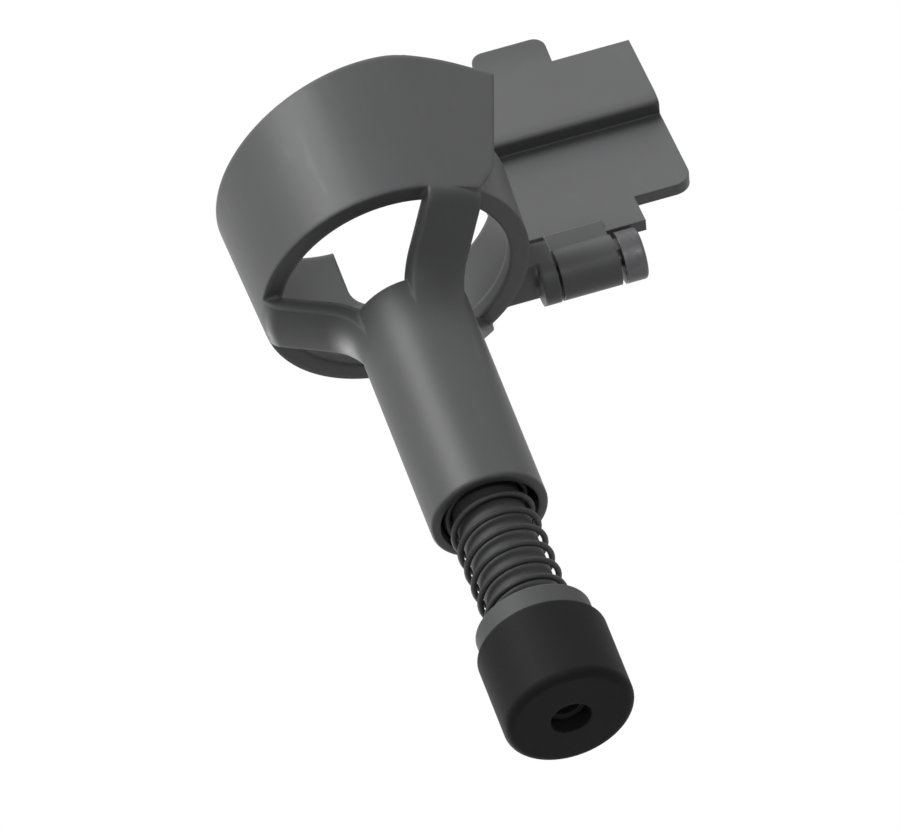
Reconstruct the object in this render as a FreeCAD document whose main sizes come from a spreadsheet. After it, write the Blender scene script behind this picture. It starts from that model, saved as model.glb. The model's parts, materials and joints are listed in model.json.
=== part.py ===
import FreeCAD, Part
import Sketcher
import math
import os

# Landing leg with a cup that sleeves a motor housing, a snap latch beside it and a sprung foot below.
# Frame: +Z up, +X along the arm, +Y to the hinge side, origin on the cup axis at the bore's lower end.

os.makedirs("parts", exist_ok=True)
doc = FreeCAD.newDocument("landing_leg")
sheet = doc.addObject("Spreadsheet::Sheet", "sizes")
UP = FreeCAD.Vector(0, 0, 1)


class Size:
    """A number together with the spreadsheet formula that gives it."""

    def __init__(self, value, text):
        self.value = float(value)
        self.text = text

    def __add__(self, other):
        other = as_size(other)
        return Size(self.value + other.value, "(%s + %s)" % (self.text, other.text))

    def __sub__(self, other):
        other = as_size(other)
        return Size(self.value - other.value, "(%s - %s)" % (self.text, other.text))

    def __mul__(self, other):
        other = as_size(other)
        return Size(self.value * other.value, "(%s * %s)" % (self.text, other.text))

    def __truediv__(self, other):
        other = as_size(other)
        return Size(self.value / other.value, "(%s / %s)" % (self.text, other.text))

    def __neg__(self):
        return Size(-self.value, "(0 - %s)" % self.text)

    def root(self):
        return Size(math.sqrt(self.value), "sqrt(%s)" % self.text)

    def sine(self):
        return Size(math.sin(math.radians(self.value)), "sin(%s * 1deg)" % self.text)

    def cosine(self):
        return Size(math.cos(math.radians(self.value)), "cos(%s * 1deg)" % self.text)

    def slope(self):
        return Size(math.tan(math.radians(self.value)), "tan(%s * 1deg)" % self.text)


def as_size(number):
    return number if isinstance(number, Size) else Size(number, repr(number))


rows = []


def size(name, value):
    """Write one size into the sheet under its own name."""
    rows.append(name)
    row = len(rows)
    sheet.set("A%d" % row, name)
    sheet.set("B%d" % row, str(value))
    sheet.setAlias("B%d" % row, name)
    return Size(value, "sizes." + name)


def bind(thing, prop, amount):
    amount = as_size(amount)
    setattr(thing, prop, amount.value)
    thing.setExpression(prop, amount.text)


# Sizes of the cup, in millimetres and degrees
cup_bore_r = size("cup_bore_r", 13.2)
cup_wall = size("cup_wall", 1.4)
cup_relief = size("cup_relief", 0.15)
cup_flare = size("cup_flare", 0.7)
cup_height = size("cup_height", 15.6)
cup_floor = size("cup_floor", 1.7)
cup_ledge = size("cup_ledge", 1.4)
rim_tilt = size("rim_tilt", 9.0)
rim_round = size("rim_round", 20.0)
low_wall_height = size("low_wall_height", 7.2)
step_x = size("step_x", -2.8)
step_round = size("step_round", 2.4)
arm_gap_half = size("arm_gap_half", 7.4)

# Sizes of the struts between the cup and the tube
strut_count = size("strut_count", 3)
strut_width = size("strut_width", 6.2)
strut_wall = size("strut_wall", 1.6)
strut_slope = size("strut_slope", 62.0)
shoulder_r = size("shoulder_r", 1.9)
neck_r = size("neck_r", 5.2)

# Sizes of the tube and its guide
tube_wall = size("tube_wall", 1.0)
tube_top_z = size("tube_top_z", -6.8)
tube_end_z = size("tube_end_z", -34.8)
tube_end_round = size("tube_end_round", 0.3)
guide_top_z = size("guide_top_z", -18.8)
guide_length = size("guide_length", 4.0)

# Sizes of the cheek that leaves the near side of the cup at a tangent
cheek_angle = size("cheek_angle", 62.0)
cheek_root_z = size("cheek_root_z", 1.5)
cheek_root_reach = size("cheek_root_reach", 3.4)
cheek_low_reach = size("cheek_low_reach", 5.7)
cheek_slant = size("cheek_slant", 17.6)
cheek_fall_x = size("cheek_fall_x", 9.0)
cheek_fall = size("cheek_fall", 15.5)

# Sizes of the hinge
hinge_y = size("hinge_y", 9.0)
hinge_z = size("hinge_z", 0.7)
knuckle_r = size("knuckle_r", 2.8)
pin_r = size("pin_r", 0.9)
pin_running_gap = size("pin_running_gap", 0.05)
hinge_gap = size("hinge_gap", 0.3)
barrel_start_x = size("barrel_start_x", 17.8)
barrel_length = size("barrel_length", 6.4)
root_knuckle_length = size("root_knuckle_length", 1.8)
pin_head_gap = size("pin_head_gap", 0.5)
pin_head_length = size("pin_head_length", 2.4)
pin_head_round = size("pin_head_round", 0.4)

# Sizes of the latch plate
plate_start_x = size("plate_start_x", 13.8)
plate_width = size("plate_width", 21.4)
plate_heel_z = size("plate_heel_z", 5.6)
plate_thickness = size("plate_thickness", 1.6)
plate_lean = size("plate_lean", 12.0)
plate_inner_y = size("plate_inner_y", 7.8)
plate_low_z = size("plate_low_z", 8.0)
plate_top_z = size("plate_top_z", 31.2)
plate_corner_r = size("plate_corner_r", 2.0)
tab_width = size("tab_width", 10.8)
rib_low_z = size("rib_low_z", 20.2)
rib_face = size("rib_face", 1.5)
rib_depth = size("rib_depth", 2.0)
rib_round = size("rib_round", 0.5)
finger_start_x = size("finger_start_x", 18.4)
finger_width = size("finger_width", 8.2)
finger_rise = size("finger_rise", 3.7)
finger_round = size("finger_round", 1.4)

# Sizes of the sprung plunger, its coil spring and the rubber foot
rod_r = size("rod_r", 3.75)
guide_gap = size("guide_gap", 0.05)
stop_gap = size("stop_gap", 0.05)
head_reach = size("head_reach", 0.75)
head_height = size("head_height", 2.3)
head_slit = size("head_slit", 1.0)
head_slit_depth = size("head_slit_depth", 7.0)
wire_r = size("wire_r", 0.33)
coil_gap = size("coil_gap", 0.3)
coil_pitch = size("coil_pitch", 2.3)
seat_z = size("seat_z", -53.2)
seat_floor = size("seat_floor", 2.6)
seat_wall = size("seat_wall", 0.9)
seat_lip = size("seat_lip", 3.3)
stub_r = size("stub_r", 4.2)
stub_length = size("stub_length", 5.0)
core_r = size("core_r", 1.6)
core_depth = size("core_depth", 9.0)
foot_wall = size("foot_wall", 0.75)
foot_floor = size("foot_floor", 1.9)
foot_grip = size("foot_grip", 3.3)
foot_round = size("foot_round", 1.0)
foot_shoulder = size("foot_shoulder", 0.5)
foot_hole_r = size("foot_hole_r", 2.2)

# Sizes that follow from the ones above
cup_low_r = cup_bore_r + cup_wall
cup_top_r = cup_low_r + cup_flare
tube_bore_r = rod_r + coil_gap + wire_r * 2 + coil_gap + coil_gap
tube_r = tube_bore_r + tube_wall
guide_low_z = guide_top_z - guide_length
coil_r = rod_r + coil_gap + wire_r
half_pitch = as_size(180) / strut_count
root_knuckle_end = barrel_start_x - hinge_gap
pin_start_x = root_knuckle_end - root_knuckle_length
pin_head_x = barrel_start_x + barrel_length + pin_head_gap
pin_end_x = pin_head_x + pin_head_length
foot_low_z = seat_z - seat_floor - stub_length - foot_floor
seat_r = tube_bore_r + seat_wall
tall = cup_height * 3


def new_body(name):
    body = doc.addObject("PartDesign::Body", name)
    body.Label = name
    return body


def plane_of(body, role):
    for feature in body.Origin.OriginFeatures:
        if feature.Role == role:
            return feature
    raise RuntimeError("no plane " + role)


def new_sketch(body, name, role, offset=None):
    """A sketch on one of the body's own planes, moved along its normal by offset."""
    sketch = body.newObject("Sketcher::SketchObject", name)
    sketch.AttachmentSupport = [(plane_of(body, role), "")]
    sketch.MapMode = "FlatFace"
    if offset is not None:
        offset = as_size(offset)
        sketch.AttachmentOffset = FreeCAD.Placement(
            FreeCAD.Vector(0, 0, offset.value), FreeCAD.Rotation())
        sketch.setExpression("AttachmentOffset.Base.z", offset.text)
    return sketch


def locate(sketch, index, end, x, y):
    """Hold one end of a line or arc at x, y by two dimensions."""
    for axis, amount in (("DistanceX", x), ("DistanceY", y)):
        amount = as_size(amount)
        number = sketch.addConstraint(
            Sketcher.Constraint(axis, -1, 1, index, end, amount.value))
        sketch.setExpression("Constraints[%d]" % number, amount.text)


def closed_outline(sketch, start, steps):
    """Draw lines and arcs from point to point; each step is (x, y) or (x, y, radius, turn)."""
    here = start
    first = None
    for step in steps:
        there = step[:2]
        x0, y0 = as_size(here[0]).value, as_size(here[1]).value
        x1, y1 = as_size(there[0]).value, as_size(there[1]).value
        if len(step) == 2:
            line = Part.LineSegment(FreeCAD.Vector(x0, y0, 0), FreeCAD.Vector(x1, y1, 0))
            index = sketch.addGeometry(line, False)
            ends = (1, 2)
        else:
            radius, turn = as_size(step[2]), step[3]
            half = math.hypot(x1 - x0, y1 - y0) / 2
            rise = math.sqrt(max(radius.value ** 2 - half ** 2, 0.0)) * turn
            cx = (x0 + x1) / 2 - rise * (y1 - y0) / (2 * half)
            cy = (y0 + y1) / 2 + rise * (x1 - x0) / (2 * half)
            circle = Part.Circle(FreeCAD.Vector(cx, cy, 0), UP, radius.value)
            begin = math.atan2(y0 - cy, x0 - cx)
            finish = math.atan2(y1 - cy, x1 - cx)
            if turn < 0:
                begin, finish = finish, begin
            arc = Part.ArcOfCircle(circle, begin, finish)
            index = sketch.addGeometry(arc, False)
            ends = (1, 2) if turn > 0 else (2, 1)
            number = sketch.addConstraint(
                Sketcher.Constraint("Radius", index, radius.value))
            sketch.setExpression("Constraints[%d]" % number, radius.text)
        if first is None:
            first = (index, ends[0])
        else:
            sketch.addConstraint(
                Sketcher.Constraint("Coincident", before[0], before[1], index, ends[0]))
        locate(sketch, index, ends[0], here[0], here[1])
        before = (index, ends[1])
        here = there
    sketch.addConstraint(
        Sketcher.Constraint("Coincident", before[0], before[1], first[0], first[1]))


def circle_outline(sketch, x, y, radius):
    x, y, radius = as_size(x), as_size(y), as_size(radius)
    circle = Part.Circle(FreeCAD.Vector(x.value, y.value, 0), UP, radius.value)
    index = sketch.addGeometry(circle, False)
    number = sketch.addConstraint(Sketcher.Constraint("Radius", index, radius.value))
    sketch.setExpression("Constraints[%d]" % number, radius.text)
    locate(sketch, index, 3, x, y)


def turned(body, name, sketch):
    """Turn an outline drawn in the XZ plane a full circle about Z."""
    feature = body.newObject("PartDesign::Revolution", name)
    feature.Profile = sketch
    feature.ReferenceAxis = (sketch, ["V_Axis"])
    feature.Angle = 360.0
    return feature


def raised(body, name, sketch, length):
    feature = body.newObject("PartDesign::Pad", name)
    feature.Profile = sketch
    bind(feature, "Length", length)
    return feature


def sunk(body, name, sketch, length):
    feature = body.newObject("PartDesign::Pocket", name)
    feature.Profile = sketch
    bind(feature, "Length", length)
    return feature


# The housing: cup, floor ledge, the curved wall that the struts are cut from, and tube, as one turned wall
housing = new_body("leg_housing")
relief_r = cup_bore_r + cup_relief
floor_low_z = -cup_floor
bend = as_size(1.0) - strut_slope.cosine()
shoulder_x = cup_low_r - shoulder_r * bend
shoulder_z = floor_low_z - shoulder_r * strut_slope.sine()
neck_x = tube_r + neck_r * bend
neck_z = shoulder_z - (shoulder_x - neck_x) / strut_slope.slope()
neck_low_z = neck_z - neck_r * strut_slope.sine()
inner_shift_x = strut_wall * strut_slope.cosine()
inner_shift_z = strut_wall * strut_slope.sine()
inner_neck_r = neck_r + strut_wall
inner_low_x = tube_r + neck_r - tube_bore_r
inner_low_z = neck_low_z + (inner_neck_r * inner_neck_r - inner_low_x * inner_low_x).root()
wall = new_sketch(housing, "wall_outline", "XZ_Plane")
closed_outline(wall, (relief_r, cup_height + cup_height), [
    (relief_r, low_wall_height),
    (cup_bore_r, low_wall_height),
    (cup_bore_r, 0.0),
    (cup_bore_r - cup_ledge, 0.0),
    (cup_bore_r - cup_ledge, floor_low_z),
    (cup_low_r - strut_wall, floor_low_z),
    (shoulder_x - inner_shift_x, shoulder_z + inner_shift_z, shoulder_r - strut_wall, -1),
    (neck_x - inner_shift_x, neck_z + inner_shift_z),
    (tube_bore_r, inner_low_z, inner_neck_r, 1),
    (tube_bore_r, guide_top_z),
    (rod_r + guide_gap, guide_top_z),
    (rod_r + guide_gap, guide_low_z),
    (tube_bore_r, guide_low_z),
    (tube_bore_r, tube_end_z),
    (tube_r - tube_end_round, tube_end_z),
    (tube_r, tube_end_z + tube_end_round, tube_end_round, 1),
    (tube_r, neck_low_z),
    (neck_x, neck_z, neck_r, -1),
    (shoulder_x, shoulder_z),
    (cup_low_r, floor_low_z, shoulder_r, 1),
    (cup_top_r, cup_height),
    (cup_top_r, cup_height + cup_height),
    (relief_r, cup_height + cup_height),
])
turned(housing, "turned_wall", wall)

# The wall steps down on the hinge side and opens for the arm
gap = new_sketch(housing, "arm_gap_outline", "XZ_Plane", arm_gap_half)
gap_right = cup_top_r * 2
closed_outline(gap, (step_x, tall), [
    (step_x, low_wall_height + step_round),
    (step_x + step_round, low_wall_height, step_round, 1),
    (gap_right, low_wall_height),
    (gap_right, tall),
    (step_x, tall),
])
sunk(housing, "arm_gap", gap, arm_gap_half + cup_top_r * 2)

# Above the low wall the near side runs on straight, as a cheek tangent to the cup
out_x, out_y = cheek_angle.cosine(), -cheek_angle.sine()
high_z = cup_height + cup_height / 2


def along_cheek(distance, reach):
    """A point at this distance from the cup's axis and this far along the tangent."""
    return (out_x * distance - out_y * reach, out_y * distance + out_x * reach)


channel = new_sketch(housing, "channel_outline", "XY_Plane", low_wall_height)
channel_end = along_cheek(relief_r, cup_top_r)
channel_start = along_cheek(relief_r, cup_wall)
closed_outline(channel, channel_start, [
    channel_end,
    (channel_end[0], 0.0),
    (channel_start[0], 0.0),
    channel_start,
])
channel_cut = sunk(housing, "channel_cut", channel, tall - low_wall_height)
channel_cut.Reversed = True

flare_slope = cup_flare / (cup_height + cup_floor)


def full_reach(level):
    return cheek_low_reach + level * cheek_slant.slope()


cheek_sections = []
for level_name, level, reach_here in (
        ("root", floor_low_z, cheek_root_reach),
        ("low", cheek_root_z, full_reach(cheek_root_z)),
        ("high", high_z, full_reach(high_z))):
    outer = cup_low_r + (level + cup_floor) * flare_slope
    section = new_sketch(housing, "cheek_%s_outline" % level_name, "XY_Plane", level)
    closed_outline(section, along_cheek(relief_r, 0.0), [
        along_cheek(outer, 0.0),
        along_cheek(outer, reach_here),
        along_cheek(relief_r, reach_here),
        along_cheek(relief_r, 0.0),
    ])
    cheek_sections.append(section)
cheek = housing.newObject("PartDesign::AdditiveLoft", "cheek")
cheek.Profile = cheek_sections[0]
cheek.Sections = cheek_sections[1:]
cheek.Ruled = True

# The rim slopes up towards the arm and falls again along the cheek
rim = new_sketch(housing, "rim_outline", "XZ_Plane")
rim_far = cup_top_r * 2
rim_peak_z = cup_height + cheek_fall_x * rim_tilt.slope()
rim_touch = rim_round * ((rim_tilt + cheek_fall) / 2).slope()
closed_outline(rim, (-rim_far, cup_height - rim_far * rim_tilt.slope()), [
    (cheek_fall_x - rim_touch * rim_tilt.cosine(), rim_peak_z - rim_touch * rim_tilt.sine()),
    (cheek_fall_x + rim_touch * cheek_fall.cosine(), rim_peak_z - rim_touch * cheek_fall.sine(),
     rim_round, -1),
    (rim_far, rim_peak_z - (rim_far - cheek_fall_x) * cheek_fall.slope()),
    (rim_far, tall),
    (-rim_far, tall),
    (-rim_far, cup_height - rim_far * rim_tilt.slope()),
])
rim_cut = sunk(housing, "rim_cut", rim, rim_far * 2)
rim_cut.Midplane = True

# Below the cup's floor the wall is cut away between the struts, down to the plain tube
half_strut = strut_width / 2
side_x, side_y = half_pitch.cosine(), half_pitch.sine()


def beside_strut(radius):
    """Where the side of the strut meets a circle of this radius."""
    along = (radius * radius - half_strut * half_strut).root()
    return (along * side_x + half_strut * side_y, along * side_y - half_strut * side_x)


def mirrored(point):
    return (point[0], -point[1])


outer_side = beside_strut(cup_top_r)
inner_side = beside_strut(tube_r)
above = new_sketch(housing, "window_outline", "XY_Plane", floor_low_z)
closed_outline(above, mirrored(outer_side), [
    outer_side + (cup_top_r, 1),
    (half_strut / side_y, 0.0),
    mirrored(outer_side),
])
window_cut = sunk(housing, "window_cut", above, floor_low_z - tube_top_z)
beside = new_sketch(housing, "tube_side_outline", "XY_Plane", tube_top_z)
closed_outline(beside, mirrored(outer_side), [
    outer_side + (cup_top_r, 1),
    inner_side,
    mirrored(inner_side) + (tube_r, -1),
    mirrored(outer_side),
])
tube_side_cut = sunk(housing, "tube_side_cut", beside, tube_top_z - neck_low_z)
windows = housing.newObject("PartDesign::PolarPattern", "windows")
windows.Originals = [window_cut, tube_side_cut]
windows.Axis = (above, ["N_Axis"])
windows.Angle = 360.0
windows.Occurrences = 3
windows.setExpression("Occurrences", strut_count.text)
housing.Tip = windows

# A lug on the hinge side: a shelf that runs back into the cup, with a round knuckle at its end
lug_y = hinge_y - knuckle_r
lug_x = (cup_bore_r * cup_bore_r - lug_y * lug_y).root() + cup_wall / 8
lug = new_sketch(housing, "lug_outline", "YZ_Plane", lug_x)
closed_outline(lug, (lug_y, hinge_z), [
    (hinge_y + knuckle_r, hinge_z),
    (hinge_y + knuckle_r, hinge_z + knuckle_r),
    (lug_y, hinge_z + knuckle_r),
    (lug_y, hinge_z),
])
raised(housing, "lug", lug, root_knuckle_end - lug_x)
knuckle = new_sketch(housing, "knuckle_outline", "YZ_Plane", pin_start_x)
circle_outline(knuckle, hinge_y, hinge_z, knuckle_r)
raised(housing, "knuckle", knuckle, root_knuckle_length)
pin_seat = new_sketch(housing, "pin_seat_outline", "YZ_Plane", root_knuckle_end)
circle_outline(pin_seat, hinge_y, hinge_z, pin_r)
sunk(housing, "pin_seat", pin_seat, root_knuckle_length)

# The latch: a leaning plate with a snap rib, cut to outline, and a barrel round the pin
latch = new_body("latch")
lean = plate_lean.slope()
root_z = hinge_z + knuckle_r + hinge_gap


def inner_y(level):
    return plate_inner_y + (level - root_z) * lean


outer_offset = plate_thickness / plate_lean.cosine()
rib_high_z = rib_low_z + rib_face
rib_nose_y = inner_y(rib_low_z) - rib_depth
upper_inner_y = rib_nose_y + (plate_top_z - rib_high_z) * lean
bend_y = inner_y(rib_low_z) + outer_offset
section = new_sketch(latch, "plate_section", "YZ_Plane", plate_start_x)
closed_outline(section, (plate_inner_y, root_z), [
    (plate_inner_y + outer_offset, root_z),
    (bend_y, rib_low_z),
    (bend_y, plate_top_z),
    (upper_inner_y, plate_top_z),
    (rib_nose_y, rib_high_z),
    (rib_nose_y, rib_low_z + rib_round),
    (rib_nose_y + rib_round, rib_low_z, rib_round, 1),
    (inner_y(rib_low_z), rib_low_z),
    (plate_inner_y, root_z),
])
raised(latch, "plate", section, plate_width)

# Below the plate's lower edge only the tab goes on down to the barrel
heel = new_sketch(latch, "heel_outline", "XZ_Plane", -(plate_inner_y - rib_depth * 2))
closed_outline(heel, (plate_start_x - plate_corner_r, root_z - plate_corner_r), [
    (barrel_start_x, root_z - plate_corner_r),
    (barrel_start_x, plate_heel_z),
    (plate_start_x + plate_corner_r, plate_heel_z),
    (plate_start_x, plate_heel_z + plate_corner_r, plate_corner_r, -1),
    (plate_start_x - plate_corner_r, plate_heel_z + plate_corner_r),
    (plate_start_x - plate_corner_r, root_z - plate_corner_r),
])
sunk(latch, "heel_cut", heel, plate_inner_y * 3)
tab_end_x = barrel_start_x + tab_width
plate_end_x = plate_start_x + plate_width
corner = new_sketch(latch, "corner_outline", "XZ_Plane", -(plate_inner_y - rib_depth * 2))
closed_outline(corner, (tab_end_x, root_z - plate_corner_r), [
    (plate_end_x + plate_corner_r, root_z - plate_corner_r),
    (plate_end_x + plate_corner_r, plate_low_z + plate_corner_r),
    (plate_end_x, plate_low_z + plate_corner_r),
    (plate_end_x - plate_corner_r, plate_low_z, plate_corner_r, -1),
    (tab_end_x, plate_low_z),
    (tab_end_x, root_z - plate_corner_r),
])
sunk(latch, "corner_cut", corner, plate_inner_y * 3)

# Barrel and neck between the two knuckles
barrel_r = knuckle_r - pin_running_gap
neck = new_sketch(latch, "barrel_outline", "YZ_Plane", barrel_start_x)
neck_half = (barrel_r * barrel_r - (hinge_y - plate_inner_y) * (hinge_y - plate_inner_y)).root()
neck_far_y = plate_inner_y + outer_offset + outer_offset / 2
far_half = (barrel_r * barrel_r - (neck_far_y - hinge_y) * (neck_far_y - hinge_y)).root()
closed_outline(neck, (plate_inner_y, root_z + plate_thickness), [
    (plate_inner_y, hinge_z + neck_half),
    (hinge_y, hinge_z - barrel_r, barrel_r, 1),
    (neck_far_y, hinge_z + far_half, barrel_r, 1),
    (plate_inner_y + outer_offset + lean * plate_thickness, root_z + plate_thickness),
    (plate_inner_y, root_z + plate_thickness),
])
raised(latch, "barrel", neck, barrel_length)
latch_bore = new_sketch(latch, "bore_outline", "YZ_Plane", barrel_start_x + barrel_length)
circle_outline(latch_bore, hinge_y, hinge_z, pin_r + pin_running_gap)
sunk(latch, "bore", latch_bore, barrel_length)

# Finger tab on top of the plate
finger_end_x = finger_start_x + finger_width
finger_top_z = plate_top_z + finger_rise
finger = new_sketch(latch, "finger_outline", "XZ_Plane", -upper_inner_y)
closed_outline(finger, (finger_start_x, rib_high_z + finger_rise), [
    (finger_end_x, rib_high_z + finger_rise),
    (finger_end_x, finger_top_z - finger_round),
    (finger_end_x - finger_round, finger_top_z, finger_round, 1),
    (finger_start_x + finger_round, finger_top_z),
    (finger_start_x, finger_top_z - finger_round, finger_round, 1),
    (finger_start_x, rib_high_z + finger_rise),
])
finger_tab = raised(latch, "finger_tab", finger, bend_y - upper_inner_y)
finger_tab.Reversed = True

# The hinge pin: a shaft with a round head that keeps the latch on
pin = new_body("hinge_pin")
shaft = new_sketch(pin, "pin_outline", "XZ_Plane", -hinge_y)
axis_line = Part.LineSegment(
    FreeCAD.Vector(pin_start_x.value, hinge_z.value, 0),
    FreeCAD.Vector(pin_end_x.value, hinge_z.value, 0))
axis_number = shaft.addGeometry(axis_line, True)
locate(shaft, axis_number, 1, pin_start_x, hinge_z)
locate(shaft, axis_number, 2, pin_end_x, hinge_z)
closed_outline(shaft, (pin_start_x, hinge_z), [
    (pin_end_x, hinge_z),
    (pin_end_x, hinge_z + knuckle_r - pin_head_round),
    (pin_end_x - pin_head_round, hinge_z + knuckle_r, pin_head_round, 1),
    (pin_head_x, hinge_z + knuckle_r),
    (pin_head_x, hinge_z + pin_r),
    (pin_start_x, hinge_z + pin_r),
    (pin_start_x, hinge_z),
])
pin_body = pin.newObject("PartDesign::Revolution", "turned_pin")
pin_body.Profile = shaft
pin_body.ReferenceAxis = (shaft, ["Axis0"])
pin_body.Angle = 360.0

# The plunger: snap head, rod, spring seat and a stub for the foot as one turned piece
plunger = new_body("plunger")
rod_top_z = guide_top_z + stop_gap + head_height
head_r = rod_r + head_reach
seat_low_z = seat_z - seat_floor
stub_low_z = seat_low_z - stub_length
turning = new_sketch(plunger, "plunger_outline", "XZ_Plane")
closed_outline(turning, (0.0, rod_top_z), [
    (0.0, stub_low_z + core_depth),
    (core_r, stub_low_z + core_depth),
    (core_r, stub_low_z),
    (stub_r, stub_low_z),
    (stub_r, seat_low_z),
    (seat_r, seat_low_z),
    (seat_r, seat_z + seat_lip),
    (seat_r - seat_wall, seat_z + seat_lip),
    (seat_r - seat_wall, seat_z),
    (rod_r, seat_z),
    (rod_r, guide_top_z + stop_gap),
    (head_r, guide_top_z + stop_gap),
    (rod_r - head_reach, rod_top_z),
    (0.0, rod_top_z),
])
turned(plunger, "turned_plunger", turning)
head_cut = new_sketch(plunger, "head_slit_outline", "XZ_Plane", head_r)
closed_outline(head_cut, (-(head_slit / 2), rod_top_z - head_slit_depth), [
    (head_slit / 2, rod_top_z - head_slit_depth),
    (head_slit / 2, rod_top_z + head_height),
    (-(head_slit / 2), rod_top_z + head_height),
    (-(head_slit / 2), rod_top_z - head_slit_depth),
])
sunk(plunger, "head_slit", head_cut, head_r * 2)

# The coil spring between the seat and the guide
spring = new_body("damping_spring")
wire = new_sketch(spring, "wire_outline", "XZ_Plane")
circle_outline(wire, coil_r, seat_z + wire_r, wire_r)
coil = spring.newObject("PartDesign::AdditiveHelix", "coil")
coil.Profile = wire
coil.ReferenceAxis = (wire, ["V_Axis"])
coil.Mode = 0
bind(coil, "Pitch", coil_pitch)
bind(coil, "Height", guide_low_z - seat_z - wire_r * 2)

# The rubber foot
foot = new_body("foot_cap")
foot_r = seat_r + foot_wall
foot_top_z = seat_low_z + foot_grip
sole = new_sketch(foot, "foot_outline", "XZ_Plane")
closed_outline(sole, (foot_hole_r, foot_low_z), [
    (foot_r - foot_round, foot_low_z),
    (foot_r, foot_low_z + foot_round, foot_round, 1),
    (foot_r, foot_top_z - foot_shoulder),
    (foot_r - foot_shoulder, foot_top_z, foot_shoulder, 1),
    (seat_r, foot_top_z),
    (seat_r, seat_low_z),
    (stub_r, seat_low_z),
    (stub_r, stub_low_z),
    (foot_hole_r, stub_low_z),
    (foot_hole_r, foot_low_z),
])
turned(foot, "turned_foot", sole)

doc.recompute()
doc.recompute()
pieces = [housing, latch, pin, spring, plunger, foot]
for thing in doc.Objects:
    state = " ".join(thing.State)
    if "Invalid" in state or "Error" in state:
        raise RuntimeError("%s is %s" % (thing.Name, state))
for piece in pieces:
    shape = piece.Shape
    if shape.isNull() or not shape.isValid():
        raise RuntimeError("%s has no valid shape" % piece.Label)
    if len(shape.Solids) != 1:
        raise RuntimeError("%s has %d solids" % (piece.Label, len(shape.Solids)))
    shape.exportStep("parts/%s.step" % piece.Label)
    box = shape.BoundBox
    print("%-15s volume %8.1f  x %6.2f %6.2f  y %6.2f %6.2f  z %6.2f %6.2f" % (
        piece.Label, shape.Volume, box.XMin, box.XMax, box.YMin, box.YMax, box.ZMin, box.ZMax))
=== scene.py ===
# %% [markdown]
# # A clip-on landing leg for a small craft
#
# The leg is an open cup on three curved struts, a tube with a sprung foot in it, and a latch that swings
# beside the arm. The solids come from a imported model; this lesson gives them smooth shading, a real coil
# and the finish of moulded plastic, steel, black wire and rubber, and lights them like a catalogue picture.
#
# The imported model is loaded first. Its pieces never move: everything new is built in the same frame,
# in metres, with +Z up along the tube and +X along the arm.

# %% Load the solids
import json
import math

import bmesh
import bpy
from mathutils import Matrix, Vector


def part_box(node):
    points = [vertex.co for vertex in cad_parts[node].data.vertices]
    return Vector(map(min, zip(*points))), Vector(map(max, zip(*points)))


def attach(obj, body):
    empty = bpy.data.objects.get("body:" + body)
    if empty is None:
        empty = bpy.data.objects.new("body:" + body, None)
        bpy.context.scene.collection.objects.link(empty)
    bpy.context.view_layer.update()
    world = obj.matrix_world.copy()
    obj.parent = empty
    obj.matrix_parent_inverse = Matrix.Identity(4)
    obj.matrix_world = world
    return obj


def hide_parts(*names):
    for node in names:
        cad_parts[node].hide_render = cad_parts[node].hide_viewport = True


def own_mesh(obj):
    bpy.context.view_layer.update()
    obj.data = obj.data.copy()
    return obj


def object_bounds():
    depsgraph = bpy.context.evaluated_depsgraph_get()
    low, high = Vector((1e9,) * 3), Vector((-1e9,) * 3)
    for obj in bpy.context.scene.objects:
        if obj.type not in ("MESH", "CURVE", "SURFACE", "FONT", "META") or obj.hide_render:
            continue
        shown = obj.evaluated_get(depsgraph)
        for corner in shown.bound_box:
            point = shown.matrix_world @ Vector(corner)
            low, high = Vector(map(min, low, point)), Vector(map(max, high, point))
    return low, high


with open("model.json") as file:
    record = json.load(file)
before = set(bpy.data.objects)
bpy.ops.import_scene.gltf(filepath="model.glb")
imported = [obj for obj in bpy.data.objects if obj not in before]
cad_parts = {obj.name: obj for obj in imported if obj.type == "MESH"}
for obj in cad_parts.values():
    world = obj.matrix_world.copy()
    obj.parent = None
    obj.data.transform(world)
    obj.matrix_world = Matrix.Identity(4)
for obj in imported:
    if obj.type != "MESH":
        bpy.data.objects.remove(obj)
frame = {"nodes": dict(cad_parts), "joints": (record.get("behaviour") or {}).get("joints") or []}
cad_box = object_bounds()
MM = 0.001

# %% [markdown]
# ## A short way to write materials
#
# A material is a small calculation that runs at every point of a surface. Written with raw nodes it is
# long, so a few helpers keep it readable. A `Wire` is one value in the calculation: adding, subtracting or
# multiplying wires makes the Math nodes, and `add_node` makes every other node.

# %% Wires
def feed(tree, slot, value):
    """Link a wire to a socket, or set the socket to a plain value."""
    if isinstance(value, Wire):
        tree.links.new(value.socket, slot)
    else:
        slot.default_value = value


def add_node(tree, kind, settings=None, values=None, out=0):
    """Add a node: its settings first, then the values or wires of its sockets."""
    node = tree.nodes.new("ShaderNode" + kind)
    for key, value in (settings or {}).items():
        setattr(node, key, value)
    for key, value in (values or {}).items():
        feed(tree, node.inputs[key], value)
    return Wire(tree, node.outputs[out])


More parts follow.
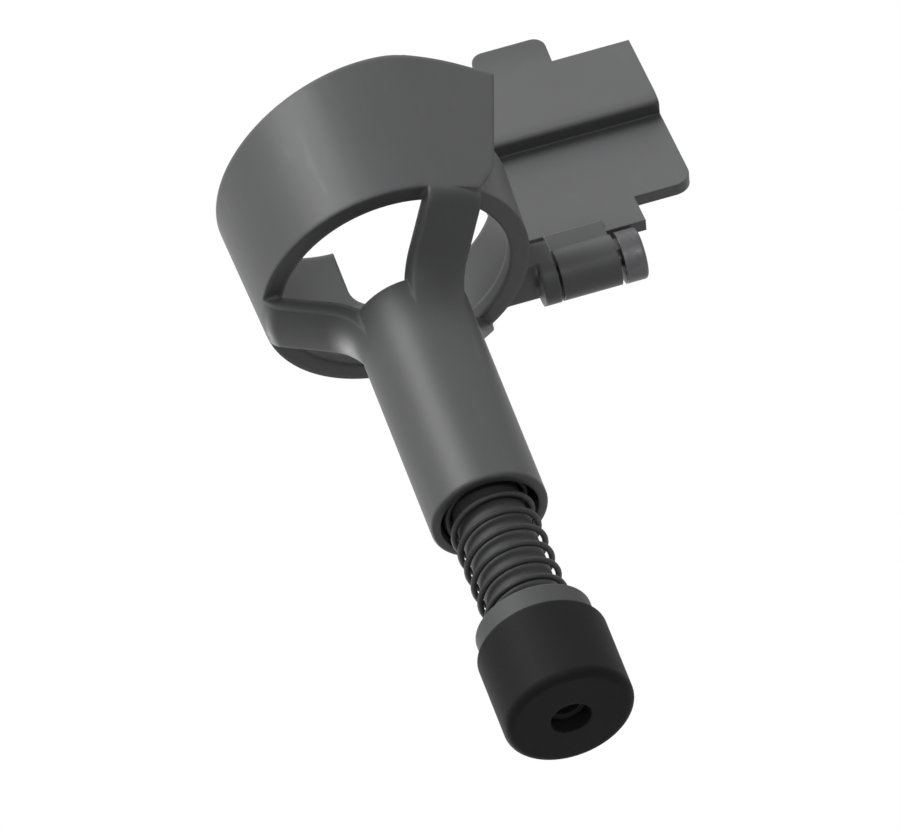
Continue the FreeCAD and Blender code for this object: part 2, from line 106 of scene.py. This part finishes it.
class Wire:
    """A value that runs through a material; arithmetic on it adds Math nodes."""

    def __init__(self, tree, socket):
        self.tree = tree
        self.socket = socket

    def math(self, operation, *values):
        return add_node(self.tree, "Math", {"operation": operation}, dict(enumerate(values)))

    def __add__(self, other):
        return self.math("ADD", self, other)

    def __radd__(self, other):
        return self.math("ADD", other, self)

    def __sub__(self, other):
        return self.math("SUBTRACT", self, other)

    def __rsub__(self, other):
        return self.math("SUBTRACT", other, self)

    def __mul__(self, other):
        return self.math("MULTIPLY", self, other)

    def __rmul__(self, other):
        return self.math("MULTIPLY", other, self)

    def or_else(self, other):
        """The larger of two masks: on where either of them is."""
        return self.math("MAXIMUM", self, other)

    def ramp(self, low, high):
        """0 where the value is at low or less, 1 at high or more, and smooth between."""
        return add_node(self.tree, "MapRange", {"interpolation_type": "SMOOTHSTEP"},
                        {"Value": self, "From Min": low, "From Max": high})


# %% [markdown]
# A `Nodes` is the whole calculation of a material or of the sky. Its `same_way` tells how well two
# directions agree: 1 is the same way, 0 is square to it. A `Finish` adds what all the surfaces of the
# leg share: random spots of a chosen size, and edges that shade as if they were rounded.

# %% Node trees and finishes
BEVEL_SAMPLES = 4
FULL_EDGE = 0.25


class Nodes:
    """The node tree of a material or of the world."""

    def __init__(self, owner):
        owner.use_nodes = True
        self.tree = owner.node_tree

    def node(self, kind, settings=None, values=None, out=0):
        return add_node(self.tree, kind, settings, values, out)

    def same_way(self, one, other):
        return self.node("VectorMath", {"operation": "DOT_PRODUCT"}, {0: one, 1: other}, out="Value")


class Finish(Nodes):
    """A material under construction, with the patterns that all the finishes share."""

    def __init__(self, name):
        self.material = bpy.data.materials.new(name)
        super().__init__(self.material)
        self.shader = self.tree.nodes["Principled BSDF"]
        self.place = self.node("TexCoord", out="Object")

    def noise(self, size, detail=2.0, stretch=(1, 1, 1)):
        """A random pattern whose spots are about this size, in metres."""
        place = self.node("Mapping", values={"Vector": self.place, "Scale": stretch})
        return self.node("TexNoise", values={"Vector": place, "Scale": 1 / size, "Detail": detail}, out="Fac")

    def round_edges(self, radius):
        """The surface direction as if every edge had this radius, and how near an edge a point is."""
        rounded = self.node("Bevel", {"samples": BEVEL_SAMPLES}, {"Radius": radius})
        straight = self.node("NewGeometry", out="Normal")
        return rounded, (1 - self.same_way(rounded, straight)).ramp(0.0, FULL_EDGE)

    def colour(self, base, level):
        """A plain colour, brighter or darker by a wire."""
        return self.node("VectorMath", {"operation": "SCALE"}, {"Vector": base, "Scale": level})

    def shine(self, level):
        """How strongly the surface mirrors its surroundings; 0.5 is common plastic."""
        self.shader.inputs["Specular IOR Level"].default_value = level

    def surface(self, colour, roughness, height, depth, direction, metal=0.0):
        """Give the shader its inputs; height makes bumps of this depth on the rounded direction."""
        bumps = self.node("Bump", values={
            "Strength": 1.0, "Distance": depth, "Height": height, "Normal": direction})
        for slot, value in (("Base Color", colour), ("Roughness", roughness),
                            ("Metallic", metal), ("Normal", bumps)):
            feed(self.tree, self.shader.inputs[slot], value)
        return self.material


# %% [markdown]
# ## Four finishes
#
# Moulded plastic has a fine eroded grain from the steel mould. The grain makes the shine soft and wide.
# Large faint clouds come from the flow of the melt, and edges that are handled turn smoother. The edges are
# also painted paler, a painted highlight where the rounded edges catch the light.
# The housing has generous edge rounds, while the thin latch and the rod have small ones.

# %% Satin moulded plastic
MOULD_GRAIN = 0.14 * MM
MOULD_GRAIN_DEPTH = 0.006 * MM
MELT_CLOUD = 9 * MM
RUBBED_SPOT = 1.6 * MM
HOUSING_EDGE = 0.7 * MM
LATCH_EDGE = 0.25 * MM
ROD_EDGE = 0.2 * MM
SATIN = 0.40
DULL = 0.55


def moulded_plastic(name, base, edge_radius, dullness):
    finish = Finish(name)
    grain = finish.noise(MOULD_GRAIN, detail=3.0)
    cloud = finish.noise(MELT_CLOUD)
    rubbed = finish.noise(RUBBED_SPOT, detail=4.0, stretch=(1, 1, 0.25)).ramp(0.55, 0.75)
    rounded, edge = finish.round_edges(edge_radius)
    # Near every edge the colour is painted paler: a painted highlight along the rounded edges.
    level = 0.93 + 0.14 * cloud + 0.85 * edge + 0.04 * rubbed
    roughness = dullness + 0.10 * grain - 0.05 * edge - 0.05 * rubbed
    finish.shine(0.3)
    return finish.surface(finish.colour(base, level), roughness, grain, MOULD_GRAIN_DEPTH, rounded)


# %% [markdown]
# Rubber is darker and duller. Its surface is slightly mottled, and the edges of the sole and of the
# shoulder are painted paler, a painted highlight where the rounded edges catch the light.

# %% Rubber
RUBBER_GRAIN = 0.22 * MM
RUBBER_GRAIN_DEPTH = 0.012 * MM
MOTTLE = 2.2 * MM
SOLE_EDGE = 0.3 * MM


def soft_rubber(name, base):
    finish = Finish(name)
    grain = finish.noise(RUBBER_GRAIN, detail=4.0)
    mottle = finish.noise(MOTTLE, detail=3.0)
    rounded, painted_edge_highlight = finish.round_edges(SOLE_EDGE)
    # The edges are painted paler: a painted highlight along the sole and the shoulder.
    level = 0.8 + 0.3 * mottle + 0.9 * painted_edge_highlight
    roughness = 0.50 + 0.16 * grain + 0.08 * mottle
    finish.shine(0.1)
    return finish.surface(finish.colour(base, level), roughness, grain, RUBBER_GRAIN_DEPTH, rounded)


# %% [markdown]
# The hinge pin is plain steel: drawn and turned, so its fine marks run round it. The spring's wire is
# black oxide, nearly without shine, with faint drawing marks, and a little worn in places.

# %% Steel and black wire
TURNING_MARK = 0.5 * MM
TURNING_DEPTH = 0.004 * MM
TARNISH_SPOT = 1.4 * MM
PIN_EDGE = 0.15 * MM
DRAWING_MARK = 0.12 * MM
DRAWING_DEPTH = 0.003 * MM
WORN_SPOT = 1.1 * MM
DULLED_METAL = 0.6


def turned_steel(name, base):
    finish = Finish(name)
    marks = finish.noise(TURNING_MARK, detail=5.0, stretch=(12, 1, 1))
    tarnish = finish.noise(TARNISH_SPOT, detail=3.0).ramp(0.35, 0.7)
    rounded, edge = finish.round_edges(PIN_EDGE)
    level = 0.8 + 0.25 * marks + 0.25 * edge - 0.15 * tarnish
    roughness = 0.32 + 0.12 * marks + 0.10 * tarnish
    return finish.surface(finish.colour(base, level), roughness, marks, TURNING_DEPTH, rounded, DULLED_METAL)


def black_wire(name, base):
    finish = Finish(name)
    marks = finish.noise(DRAWING_MARK, detail=4.0)
    worn = finish.noise(WORN_SPOT, detail=3.0).ramp(0.5, 0.8)
    straight = finish.node("NewGeometry", out="Normal")
    level = 0.8 + 0.3 * marks + 0.6 * worn
    roughness = 0.55 + 0.12 * marks - 0.12 * worn
    return finish.surface(finish.colour(base, level), roughness, marks, DRAWING_DEPTH, straight)


# %% [markdown]
# Each finish gets its colour and the name of the slot that it fills. The greys are darker than they look,
# because the white studio mirrors a little in every surface.

# %% The colours
HOUSING_GREY = (0.078, 0.079, 0.081)
LATCH_GREY = (0.092, 0.093, 0.095)
PLUNGER_GREY = (0.066, 0.067, 0.068)
RUBBER_BLACK = (0.012, 0.012, 0.013)
STEEL_GREY = (0.12, 0.12, 0.125)
WIRE_BLACK = (0.008, 0.008, 0.008)

finishes = {
    "housing_plastic": moulded_plastic("housing_plastic", HOUSING_GREY, HOUSING_EDGE, SATIN),
    "latch_plastic": moulded_plastic("latch_plastic", LATCH_GREY, LATCH_EDGE, SATIN),
    "plunger_plastic": moulded_plastic("plunger_plastic", PLUNGER_GREY, ROD_EDGE, DULL),
    "foot_rubber": soft_rubber("foot_rubber", RUBBER_BLACK),
    "pin_steel": turned_steel("pin_steel", STEEL_GREY),
    "spring_steel": black_wire("spring_steel", WIRE_BLACK),
}
print("finishes:", sorted(finishes))

# %% [markdown]
# ## Smooth solids
#
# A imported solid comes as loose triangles. A copy is merged into one closed skin and its flat parts are
# cleaned up. Edges that turn sharply are marked, and weighted normals keep the flat parts flat and the
# curved ones smooth. The cup's floor is a narrow ring that the struts hang from. The picture shows it a
# little thinner than the solid has it, so its inner edge is drawn back on the copy.

# %% A smooth copy of a solid
SHARP = math.radians(24)
FLAT = math.radians(0.6)
SAME_POINT = 0.002 * MM
NEARLY = 0.02 * MM
CUP_UNDERSIDE = -1.7 * MM
LEDGE_R = 11.8 * MM
LEDGE_SEEN_R = 12.5 * MM


def add_piece(mesh, name, body, slot, *nodes):
    """Turn a mesh into an object that rides on a body and stands for some solids."""
    data = bpy.data.meshes.new(name)
    mesh.to_mesh(data)
    mesh.free()
    data.materials.append(finishes[slot])
    piece = bpy.data.objects.new(name, data)
    bpy.context.scene.collection.objects.link(piece)
    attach(piece, body)
    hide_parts(*nodes)
    return piece


def is_sharp(edge):
    return edge.is_manifold and edge.calc_face_angle() > SHARP


def narrow_ledge(mesh):
    """Draw back the inner edge of the cup's floor ring."""
    for vert in mesh.verts:
        at_edge = abs(math.hypot(vert.co.x, vert.co.y) - LEDGE_R) < NEARLY
        if at_edge and vert.co.z > CUP_UNDERSIDE - NEARLY:
            vert.co.x *= LEDGE_SEEN_R / LEDGE_R
            vert.co.y *= LEDGE_SEEN_R / LEDGE_R


def smooth_copy(node, body, slot):
    """Dress a solid: the same shape in one skin, with its finish."""
    mesh = bmesh.new()
    mesh.from_mesh(frame["nodes"][node].data)
    bmesh.ops.remove_doubles(mesh, verts=mesh.verts, dist=SAME_POINT)
    if node == "leg_housing":
        narrow_ledge(mesh)
    bmesh.ops.dissolve_limit(mesh, angle_limit=FLAT, verts=mesh.verts, edges=mesh.edges)
    for face in mesh.faces:
        face.smooth = True
    for edge in mesh.edges:
        edge.smooth = not is_sharp(edge)
    piece = add_piece(mesh, node + "_finished", body, slot, node)
    weighted = piece.modifiers.new("weighted", "WEIGHTED_NORMAL")
    weighted.keep_sharp = True
    return piece


for node, body, slot in (
        ("leg_housing", "leg", "housing_plastic"),
        ("latch", "latch_body", "latch_plastic"),
        ("plunger", "foot_body", "plunger_plastic"),
        ("hinge_pin", "leg", "pin_steel"),
        ("foot_cap", "foot_body", "foot_rubber")):
    piece = smooth_copy(node, body, slot)
    print(node, "faces:", len(piece.data.polygons))

# %% [markdown]
# ## The coil
#
# A compression spring doesn't end in the middle of a turn: its last turn on each side closes up until it
# lies on the turn before, so the spring stands square on its seat. The wire climbs with an even pitch, and
# the pitch shrinks over the first and last turn.

# %% How the wire climbs
WIRE_R = 0.33 * MM
PITCH = 2.3 * MM
CLOSED_PITCH = 2.1 * WIRE_R

spring_low, spring_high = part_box("damping_spring")
coil_r = spring_high[0] - WIRE_R
climb = spring_high[2] - spring_low[2] - 2 * WIRE_R
end_climb = (CLOSED_PITCH + PITCH) / 2
turns = 2 + (climb - 2 * end_climb) / PITCH


def height_after(turn):
    """How far the centre line has climbed after this many turns."""
    if turn < 1:
        return CLOSED_PITCH * turn + (PITCH - CLOSED_PITCH) * turn * turn / 2
    if turn > turns - 1:
        return climb - height_after(turns - turn)
    return end_climb + (turn - 1) * PITCH


print("turns: %.2f, coil radius: %.2f mm" % (turns, coil_r / MM))

# %% [markdown]
# The wire starts as a small disc that leans as much as the wire climbs. Spin carries it round the axis in
# many small steps and pulls the wire's skin behind it. Each step has its own rise, which gives the closed
# ends. The spring is fixed at its upper end, and its length with the foot pushed all the way in is worked out
# and printed.

# %% Spin the wire
TURN_STEPS = 48
RING_POINTS = 12


def swept_coil():
    mesh = bmesh.new()
    lean = math.atan2(PITCH, math.tau * coil_r)
    start = Matrix.Translation((coil_r, 0, spring_low[2] + WIRE_R))
    start = start @ Matrix.Rotation(lean - math.pi / 2, 4, "X")
    bmesh.ops.create_circle(mesh, cap_ends=True, segments=RING_POINTS, radius=WIRE_R, matrix=start)
    disc = mesh.verts[:] + mesh.edges[:] + mesh.faces[:]
    steps = round(turns * TURN_STEPS)
    step = turns / steps
    for number in range(steps):
        rise = height_after((number + 1) * step) - height_after(number * step)
        moved = bmesh.ops.spin(mesh, geom=disc, cent=(0, 0, 0), axis=(0, 0, 1), dvec=(0, 0, rise),
                               angle=step * math.tau, steps=1, use_duplicate=False)
        disc = moved["geom_last"]
    bmesh.ops.recalc_face_normals(mesh, faces=mesh.faces)
    for face in mesh.faces:
        face.smooth = len(face.verts) == 4
    print("coil faces:", len(mesh.faces))
    return mesh


coil = add_piece(swept_coil(), "coil_wire", "leg", "spring_steel", "damping_spring")
slide = next(joint for joint in frame["joints"] if joint["name"] == "plunger_slide")
travel = slide["range_m"][1]
length = spring_high[2] - spring_low[2]
shortest = length - travel
shortest / length
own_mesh(coil)
print("length: %.1f mm, pushed in: %.1f mm" % (length / MM, shortest / MM))

# %% [markdown]
# ## The camera
#
# The picture looks up at the leg from below and nearly from the front, with a long lens and the whole
# camera rolled, so that the leg leans across the frame.

# %% Camera
bpy.context.scene.view_settings.view_transform = "Standard"
TARGET = Vector((0.0, 0.0, -20.8 * MM))
AZIMUTH = -10.0
ELEVATION = -38.2
ROLL = 21.9
DISTANCE = 1342 * MM
LENS = 520
FARTHEST = 20


def direction(azimuth, elevation):
    """The way from the leg to a place at this azimuth and elevation, in degrees; azimuth 0 is -Y."""
    turn, rise = math.radians(azimuth), math.radians(elevation)
    return Vector((math.sin(turn) * math.cos(rise), -math.cos(turn) * math.cos(rise), math.sin(rise)))


away = direction(AZIMUTH, ELEVATION)
camera = bpy.data.objects.new("camera", bpy.data.cameras.new("camera"))
bpy.context.scene.collection.objects.link(camera)
aim = away.to_track_quat("Z", "Y").to_matrix().to_4x4()
roll = Matrix.Rotation(-math.radians(ROLL), 4, "Z")
camera.matrix_world = Matrix.Translation(TARGET + away * DISTANCE) @ aim @ roll
camera.data.lens = LENS
camera.data.clip_end = FARTHEST
bpy.context.scene.camera = camera
print("camera at", camera.matrix_world.translation)

# %% [markdown]
# ## The floor
#
# The leg stands on a pale floor. The picture is taken from below it, so only a camera that looks down
# sees the floor, with the leg's shadow on it. To the lamps, and to a camera below, it is clear.

# %% Floor
FLOOR_SIZE = 1.2
FLOOR_GRAIN = 2 * MM
FLOOR_WHITE = (0.9, 0.9, 0.9)


def floor_material():
    finish = Finish("studio_floor")
    back = finish.node("NewGeometry", out="Backfacing")
    picture = finish.node("LightPath", out="Is Camera Ray")
    grain = finish.noise(FLOOR_GRAIN, detail=3.0)
    feed(finish.tree, finish.shader.inputs["Base Color"], finish.colour(FLOOR_WHITE, 0.985 + 0.03 * grain))
    feed(finish.tree, finish.shader.inputs["Roughness"], 0.7 + 0.1 * grain)
    solid = Wire(finish.tree, finish.shader.outputs["BSDF"])
    clear = finish.node("BsdfTransparent")
    seen_or_not = finish.node("MixShader", values={0: 1 - picture * (1 - back), 1: solid, 2: clear})
    feed(finish.tree, finish.tree.nodes["Material Output"].inputs["Surface"], seen_or_not)
    return finish.material


floor_mesh = bmesh.new()
bmesh.ops.create_grid(floor_mesh, x_segments=1, y_segments=1, size=FLOOR_SIZE / 2)
floor_data = bpy.data.meshes.new("floor")
floor_mesh.to_mesh(floor_data)
floor_mesh.free()
floor_data.materials.append(floor_material())
floor = bpy.data.objects.new("floor", floor_data)
bpy.context.scene.collection.objects.link(floor)
floor.location.z = cad_box[0][2]
print("floor at %.1f mm" % (floor.location.z / MM))

# %% [markdown]
# ## The sky
#
# The camera and every mirrored ray see a plain white studio. As a light, the sky is bright at the upper
# left and dark below and on the other side, which keeps the shaded faces of the leg dark.

# %% Sky
SKY_ABOVE = 1.2
SKY_BELOW = 0.12
BRIGHT_SIDE = (-0.45, -0.30, 0.84)
WHITE = (1, 1, 1, 1)

world = bpy.data.worlds.new("studio")
bpy.context.scene.world = world
sky = Nodes(world)
background = sky.tree.nodes["Background"]
camera_ray = sky.node("LightPath", out="Is Camera Ray")
clear_ray = sky.node("LightPath", out="Is Transmission Ray")
mirror_ray = sky.node("LightPath", out="Is Glossy Ray")
seen = camera_ray.or_else(clear_ray).or_else(mirror_ray)
towards_light = sky.same_way(sky.node("TexCoord", out="Generated"), BRIGHT_SIDE)
glow = SKY_BELOW + (SKY_ABOVE - SKY_BELOW) * towards_light.ramp(0.25, 0.95)
feed(sky.tree, background.inputs["Color"], WHITE)
feed(sky.tree, background.inputs["Strength"], seen + (1 - seen) * glow)

# %% [markdown]
# ## The lamps
#
# One strong soft box hangs high on the left, and weaker ones light the back and the right. The light
# mostly comes from above, so faces that look down stay dark, and that is what draws the ring's edge and
# the sole. A small weak lamp low in front lights the edges that face the camera.

# %% Lamps
LAMP_DISTANCE = 0.8


def soft_box(name, azimuth, elevation, size, power):
    """A square lamp that faces the leg; its angles are in degrees, its power in watts."""
    data = bpy.data.lights.new(name, "AREA")
    data.energy = power
    data.size = size
    lamp = bpy.data.objects.new(name, data)
    bpy.context.scene.collection.objects.link(lamp)
    lamp.location = TARGET + direction(azimuth, elevation) * LAMP_DISTANCE
    lamp.rotation_mode = "QUATERNION"
    lamp.rotation_quaternion = direction(azimuth, elevation).to_track_quat("Z", "Y")
    lamp.visible_camera = False
    print(name, "%.1f W" % power)


soft_box("high_left", azimuth=-36, elevation=40, size=0.4, power=4.8)
soft_box("far_left", azimuth=-150, elevation=10, size=0.35, power=2.0)
soft_box("right", azimuth=60, elevation=55, size=0.4, power=0.5)
soft_box("low_front", azimuth=0, elevation=-26, size=0.1, power=1.2)
